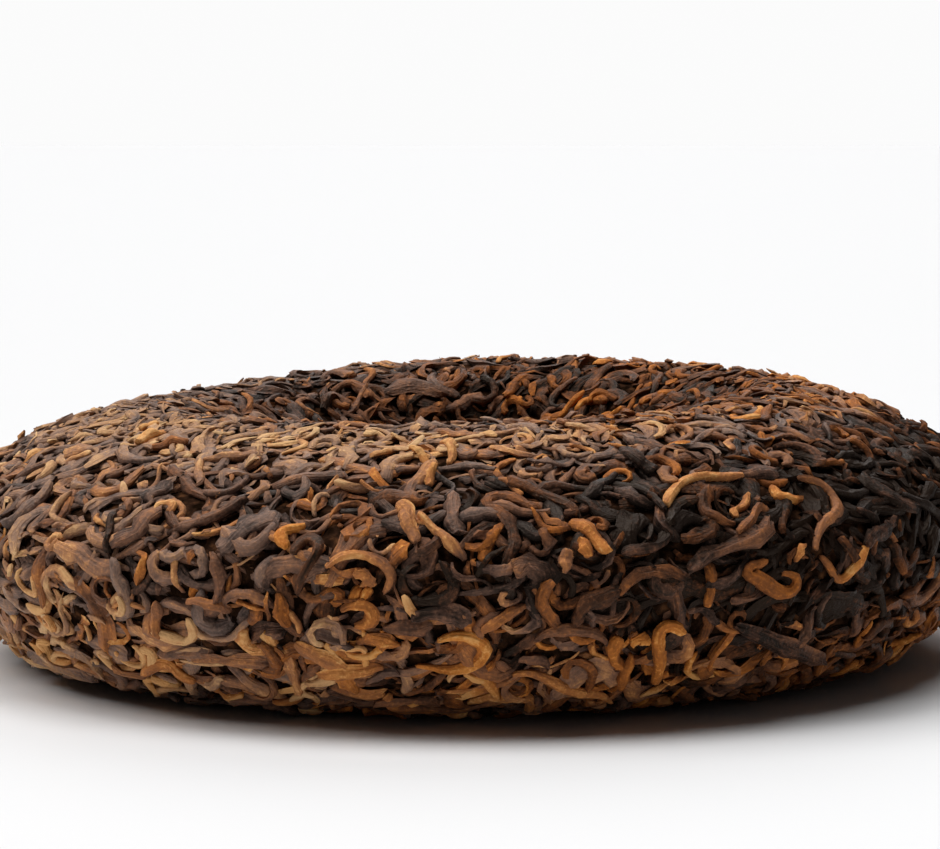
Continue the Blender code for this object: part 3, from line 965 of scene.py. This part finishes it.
def join_kind(kind, laid):
    """One object with all the leaves of a kind, with their tones, painted shade and fibres."""
    draw = random.Random(kind.name)
    vertices, faces, tones, tints, fibres = [], [], [], [], []
    first = 0
    for leaf in laid:
        places = vertices_of(leaf.master)
        spots, rise = bent(leaf, places, draw)
        vertices.append(spots)
        # Painted shade: the lower a part lies in the heap, the darker its tone.
        gap_shade = np.clip((GAP_SHADE_FROM - rise) / GAP_SHADE_REACH, 0, 1)
        edge = draw.choice((-1, 1)) * places[:, 1] - EDGE_FROM
        edge = np.clip(edge, 0, 1 - EDGE_FROM) / (1 - EDGE_FROM)
        tone = leaf.tone + leaf.fade * places[:, 0] + draw.uniform(*EDGE_TONE) * edge
        tones.append(tone - GAP_SHADE_TONE * gap_shade)
        tints.append(np.full(len(places), leaf.dust))
        fibres.append(fibres_of(leaf, places))
        faces += [[first + index for index in face.vertices] for face in leaf.master.polygons]
        first += len(places)
    mesh = bpy.data.meshes.new(kind.name)
    mesh.from_pydata(np.concatenate(vertices), [], faces)
    for name, values in (("tone", tones), ("tint", tints)):
        numbers = mesh.attributes.new(name, "FLOAT", "POINT")
        numbers.data.foreach_set("value", np.concatenate(values))
    numbers = mesh.attributes.new("fibre", "FLOAT_VECTOR", "POINT")
    numbers.data.foreach_set("vector", np.concatenate(fibres).ravel())
    mesh.shade_smooth()
    mesh.set_sharp_from_angle(angle=math.radians(FOLD_ANGLE))
    obj = bpy.data.objects.new(kind.name, mesh)
    scene.collection.objects.link(obj)
    return obj


pieces = {}
for kind in KINDS:
    pieces[kind.name] = join_kind(kind, [leaf for leaf in leaves if leaf.kind is kind])
    print(kind.name, "triangles:", triangle_count(pieces[kind.name].data))

# %% [markdown]
# ## The imported inside
#
# Between the leaves one sees only closely packed leaf in shade. More leaves could fill it,
# but nobody would see them, and a smooth dark body would look like plastic. So the
# section is spun into a body and roughened at the scale of a leaf's width. Its finish is
# painted shade: only the darkest leaf colours.


# %% Spin the core
CORE_SECTION_POINTS = 100
CORE_SPIN_STEPS = 150
WELD = 0.02 * MM


def spin_core():
    """The section, moved in by the core's depth, spun about the upright axis."""
    deselect_all()
    bpy.ops.mesh.primitive_circle_add(vertices=CORE_SECTION_POINTS, radius=1.0)
    obj = bpy.context.object
    obj.name = "packed_core"
    distance = np.linspace(0, surface.length, CORE_SECTION_POINTS)
    radius, height = surface.at(surface.radius, distance), surface.at(surface.height, distance)
    radius = radius - CORE_DEPTH * surface.at(surface.out_radius, distance)
    height = height - CORE_DEPTH * surface.at(surface.out_height, distance)
    radius[0] = radius[-1] = 0.0
    for vertex, across, up in zip(obj.data.vertices, radius, height):
        vertex.co = (across, 0.0, up)
    bpy.ops.object.mode_set(mode="EDIT")
    bpy.ops.mesh.select_mode(type="EDGE")
    bpy.ops.object.mode_set(mode="OBJECT")
    last = CORE_SECTION_POINTS - 1
    for edge in obj.data.edges:
        edge.select = set(edge.vertices) == {0, last}
    bpy.ops.object.mode_set(mode="EDIT")
    bpy.ops.mesh.delete(type="EDGE")
    bpy.ops.mesh.select_all(action="SELECT")
    bpy.ops.mesh.spin(
        steps=CORE_SPIN_STEPS, angle=2 * math.pi, center=(0, 0, 0), axis=(0, 0, 1)
    )
    bpy.ops.mesh.select_all(action="SELECT")
    bpy.ops.mesh.remove_doubles(threshold=WELD)
    bpy.ops.mesh.normals_make_consistent(inside=False)
    bpy.ops.object.mode_set(mode="OBJECT")
    return obj


core = spin_core()
print("core faces:", len(core.data.polygons))

# %% Roughen the core
LUMP_SIZE = 1.4 * MM
LUMP_STRENGTH = 1.1 * MM
LOOK_EVERY = 4
PORTIONS = 20


def roughen_core(obj):
    """Lumps of a leaf's width, then the disc's own faults and swells."""
    lumps = bpy.data.textures.new("packed_leaf", "CLOUDS")
    lumps.noise_scale = LUMP_SIZE
    lumps.noise_depth = 2
    apply_modifier(obj, "DISPLACE", texture=lumps, strength=LUMP_STRENGTH, mid_level=0.5)
    places = vertices_of(obj.data)
    radius = np.hypot(places[:, 0], places[:, 1])
    azimuth = np.arctan2(places[:, 1], places[:, 0])
    sought = np.stack([radius, places[:, 2]], 1)[:, None, :]
    section = np.stack([surface.radius, surface.height], 1)[None, ::LOOK_EVERY, :]
    nearest = []
    for portion in np.array_split(sought, PORTIONS):
        nearest.append(np.argmin(((portion - section) ** 2).sum(2), axis=1))
    station = np.concatenate(nearest) * LOOK_EVERY
    rise = (radius - surface.radius[station]) * surface.out_radius[station]
    rise += (places[:, 2] - surface.height[station]) * surface.out_height[station]
    places = surface.place(surface.station[station], azimuth, rise)
    obj.data.vertices.foreach_set("co", places.ravel())
    obj.data.shade_smooth()
    obj.data.update()


roughen_core(core)
pieces["packed_core"] = core
print("core triangles:", triangle_count(core.data))

# %% [markdown]
# ## Shader maths
#
# Materials are built from nodes. They could be wired one by one, but a small class that
# wraps a socket lets an expression such as `1 - mask` add its own Math node.


# %% Sockets as numbers
class Wire:
    """An output socket that can be added, multiplied and so on."""

    def __init__(self, shader, socket):
        self.shader = shader
        self.socket = socket

    def math(self, operation, first, second):
        return self.shader.node("ShaderNodeMath", {"operation": operation}, [first, second])

    def __add__(self, other):
        return self.math("ADD", self, other)

    def __sub__(self, other):
        return self.math("SUBTRACT", self, other)

    def __mul__(self, other):
        return self.math("MULTIPLY", self, other)

    def __rsub__(self, other):
        return self.math("SUBTRACT", other, self)

    __radd__ = __add__
    __rmul__ = __mul__


print("socket maths ready")


# %% A material and its nodes
class Shader:
    """A material, its node tree and its Principled surface."""

    def __init__(self, name, **surface):
        self.material = bpy.data.materials.new(name)
        self.material.use_nodes = True
        self.tree = self.material.node_tree
        self.surface = self.tree.nodes["Principled BSDF"]
        for socket, value in surface.items():
            self.surface.inputs[socket.replace("_", " ")].default_value = value

    def feed(self, socket, value):
        if isinstance(value, Wire):
            self.tree.links.new(value.socket, socket)
        else:
            socket.default_value = value

    def node(self, kind, settings=None, values=(), output=0):
        """A node of that type: its settings first, then its sockets' values or links."""
        node = self.tree.nodes.new(kind)
        settings = dict(settings or {})
        stops = settings.pop("stops", None)
        for name, value in settings.items():
            setattr(node, name, value)
        if stops:
            ramp = node.color_ramp
            while len(ramp.elements) < len(stops):
                ramp.elements.new(0.5)
            for element, (position, colour) in zip(ramp.elements, stops):
                element.position = position
                element.color = (*colour, 1.0)
        items = values.items() if isinstance(values, dict) else enumerate(values)
        for name, value in items:
            self.feed(node.inputs[name], value)
        return Wire(self, node.outputs[output])

    def set(self, socket, value):
        self.feed(self.surface.inputs[socket], value)


def noise(shader, place, scale, detail):
    values = {"Vector": place, "Scale": scale, "Detail": detail}
    return shader.node("ShaderNodeTexNoise", {}, values)


print("shader helpers ready")

# %% [markdown]
# ## Leaf finishes
#
# Fermented leaf runs from nearly black through grey-brown to orange and pale gold, often
# within one leaf. One ramp holds those colours for clean leaf and one for dusty leaf.
# Every leaf has a tone, which noise shifts in patches, and thin streaks follow the fibre.
# A picture of a leaf could do this too, but it would repeat. Dark leaf has a faint gloss.

# %% Colours of leaf, from dark to pale
WARM_LEAF = [
    (0.00, (0.010, 0.004, 0.002)),
    (0.20, (0.074, 0.025, 0.010)),
    (0.40, (0.180, 0.060, 0.019)),
    (0.58, (0.320, 0.104, 0.025)),
    (0.76, (0.510, 0.165, 0.031)),
    (0.90, (0.690, 0.275, 0.062)),
    (1.00, (0.780, 0.380, 0.120)),
]
DUSTY_LEAF = [
    (0.00, (0.017, 0.012, 0.011)),
    (0.20, (0.092, 0.061, 0.051)),
    (0.40, (0.195, 0.122, 0.093)),
    (0.58, (0.305, 0.176, 0.115)),
    (0.76, (0.450, 0.245, 0.128)),
    (0.90, (0.600, 0.340, 0.165)),
    (1.00, (0.690, 0.430, 0.215)),
]
print("stops in a ramp:", len(WARM_LEAF))

# %% The finish of a leaf
FIBRE_STRETCH = (0.4, 3.2, 1.0)
GRAIN_STRENGTH = 0.35
FLECK_STRENGTH = 0.10
# A Mix node has sockets for every type of data. These are its sockets for colours.
MIX_FACTOR, MIX_FIRST, MIX_SECOND, MIX_COLOUR = 0, 6, 7, 2


def tea_leaf(name, roughness, patch, streak, sheen, specular):
    """Dry leaf: its tone picks the colour, and patches, streaks and grain vary it."""
    shader = Shader(
        name,
        Sheen_Weight=sheen,
        Sheen_Roughness=0.45,
        Sheen_Tint=(1.0, 0.80, 0.62, 1.0),
        Specular_IOR_Level=specular,
        Specular_Tint=(1.0, 0.76, 0.56, 1.0),
    )
    tone = shader.node("ShaderNodeAttribute", {"attribute_name": "tone"}, output="Fac")
    tint = shader.node("ShaderNodeAttribute", {"attribute_name": "tint"}, output="Fac")
    fibre = shader.node("ShaderNodeAttribute", {"attribute_name": "fibre"}, output="Vector")
    stretched = shader.node(
        "ShaderNodeVectorMath", {"operation": "MULTIPLY"}, [fibre, FIBRE_STRETCH]
    )
    place = shader.node("ShaderNodeTexCoord", output="Object")
    streaks = noise(shader, stretched, 1.0, 3.0)
    patches = noise(shader, place, 650.0, 4.0)
    grain = noise(shader, place, 3200.0, 3.0)
    flecks = shader.node(
        "ShaderNodeMapRange",
        {},
        {"Value": grain, "From Min": 0.56, "From Max": 0.68, "To Min": 0.0, "To Max": 1.0},
    )
    shade = tone + (patches - 0.5) * patch + (streaks - 0.5) * streak
    shade = shade + (grain - 0.5) * GRAIN_STRENGTH + flecks * FLECK_STRENGTH
    warm = shader.node("ShaderNodeValToRGB", {"stops": WARM_LEAF}, [shade])
    dusty = shader.node("ShaderNodeValToRGB", {"stops": DUSTY_LEAF}, [shade])
    sockets = {MIX_FACTOR: tint, MIX_FIRST: warm, MIX_SECOND: dusty}
    colour = shader.node("ShaderNodeMix", {"data_type": "RGBA"}, sockets, output=MIX_COLOUR)
    shader.set("Base Color", colour)
    shader.set("Roughness", (patches - 0.5) * 0.6 + roughness)
    relief = shader.node(
        "ShaderNodeBump",
        {},
        {"Strength": 0.9, "Distance": 0.28 * MM, "Height": streaks + grain * 0.5},
    )
    shader.set("Normal", relief)
    return shader.material


LEAF_FINISHES = (
    # piece, material, roughness, strengths of the patches and streaks, sheen, specular
    ("broad_leaves", "broad_leaf", 0.56, 0.9, 0.6, 0.02, 0.20),
    ("dark_rolls", "dark_leaf", 0.50, 0.6, 0.5, 0.02, 0.22),
    ("dark_twists", "dark_twist", 0.52, 0.6, 0.5, 0.02, 0.22),
    ("brown_rolls", "brown_leaf", 0.58, 0.7, 0.5, 0.02, 0.16),
    ("brown_twists", "brown_twist", 0.66, 0.7, 0.5, 0.02, 0.12),
    ("golden_buds", "golden_bud", 0.66, 0.5, 0.4, 0.03, 0.12),
    ("slivers", "sliver", 0.68, 0.9, 0.4, 0.02, 0.12),
    ("stems", "stem", 0.66, 0.8, 0.3, 0.02, 0.12),
    ("crumbs", "crumb", 0.70, 1.0, 0.3, 0.02, 0.12),
)
FINISHES = {piece: tea_leaf(*values) for piece, *values in LEAF_FINISHES}
print("leaf finishes:", len(FINISHES))

# %% The finish of the core
# Painted shade: the core takes only the darkest leaf colours, for the shade in the gaps.
GAP_SHADE_LEAF = [
    (0.40, (0.008, 0.004, 0.002)),
    (0.55, (0.030, 0.014, 0.008)),
    (0.70, (0.100, 0.042, 0.018)),
]


def packed_leaf():
    """Packed leaf in the gaps, coloured nearly black as painted shade."""
    shader = Shader("packed_leaf", Roughness=0.9, Specular_IOR_Level=0.0)
    patches = noise(shader, shader.node("ShaderNodeTexCoord", output="Object"), 900.0, 5.0)
    shader.set("Base Color", shader.node("ShaderNodeValToRGB", {"stops": GAP_SHADE_LEAF}, [patches]))
    relief = shader.node(
        "ShaderNodeBump", {}, {"Strength": 1.0, "Distance": 0.6 * MM, "Height": patches}
    )
    shader.set("Normal", relief)
    return shader.material


FINISHES["packed_core"] = packed_leaf()
for name, piece in pieces.items():
    piece.data.materials.append(FINISHES[name])
print("finishes:", len(FINISHES))

# %% [markdown]
# ## The whole cake
#
# The cake moves as one thing, so all its pieces ride on the one body of the part, and
# together they stand for its node. Joining them as one mesh would lose their finishes.

# %% Attach the pieces
for piece in pieces.values():
    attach(piece, "root")
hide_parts("tea_cake")
print("pieces:", sorted(pieces))

# %% [markdown]
# ## Floor and light
#
# The cake lies on a plain white floor in a white room, in soft light from above, from
# behind and from the left. Area lamps could give it, but sun lamps with a wide angle act
# as large windows far away, and light the whole cake alike.

# %% Add the floor
FLOOR_SIZE = 8.0
FLOOR_WHITE = (0.805, 0.805, 0.81, 1.0)
deselect_all()
bpy.ops.mesh.primitive_plane_add(size=FLOOR_SIZE, location=(0, 0, 0))
floor = bpy.context.object
floor.name = "floor"
floor_finish = Shader("white_table", Roughness=0.6, Specular_IOR_Level=0.2)
floor_finish.set("Base Color", FLOOR_WHITE)
floor.data.materials.append(floor_finish.material)
print("floor added")

# %% Add the white room
scene.view_settings.view_transform = "Standard"
WHITE_SEEN = 0.968
ROOM_LIGHT = 0.04


def white_room():
    """A world that the camera sees as white, but that lights the cake only softly."""
    world = bpy.data.worlds.new("white_room")
    world.use_nodes = True
    tree = world.node_tree
    path = tree.nodes.new("ShaderNodeLightPath")
    level = tree.nodes.new("ShaderNodeMapRange")
    level.inputs["To Min"].default_value = ROOM_LIGHT
    level.inputs["To Max"].default_value = WHITE_SEEN
    tree.links.new(path.outputs["Is Camera Ray"], level.inputs["Value"])
    background = tree.nodes["Background"]
    background.inputs["Color"].default_value = (1.0, 1.0, 1.0, 1.0)
    tree.links.new(level.outputs["Result"], background.inputs["Strength"])
    return world


scene.world = white_room()
print("room light:", ROOM_LIGHT)


# %% Light the scene
def add_window(name, towards, spread, strength):
    """Soft even light from a direction, as from a large window far away."""
    lamp = bpy.data.lights.new(name, "SUN")
    lamp.angle = math.radians(spread)
    lamp.energy = strength
    window = bpy.data.objects.new(name, lamp)
    window.rotation_euler = (-Vector(towards)).to_track_quat("-Z", "Y").to_euler()
    scene.collection.objects.link(window)


add_window("window_above", (0.0, 0.0, 1.0), 36, 1.72)
add_window("window_behind", (0.0, 0.70, 0.70), 44, 0.85)
add_window("window_left", (-0.60, 0.0, 0.80), 40, 1.88)
print("lights:", [lamp.name for lamp in scene.objects if lamp.type == "LIGHT"])
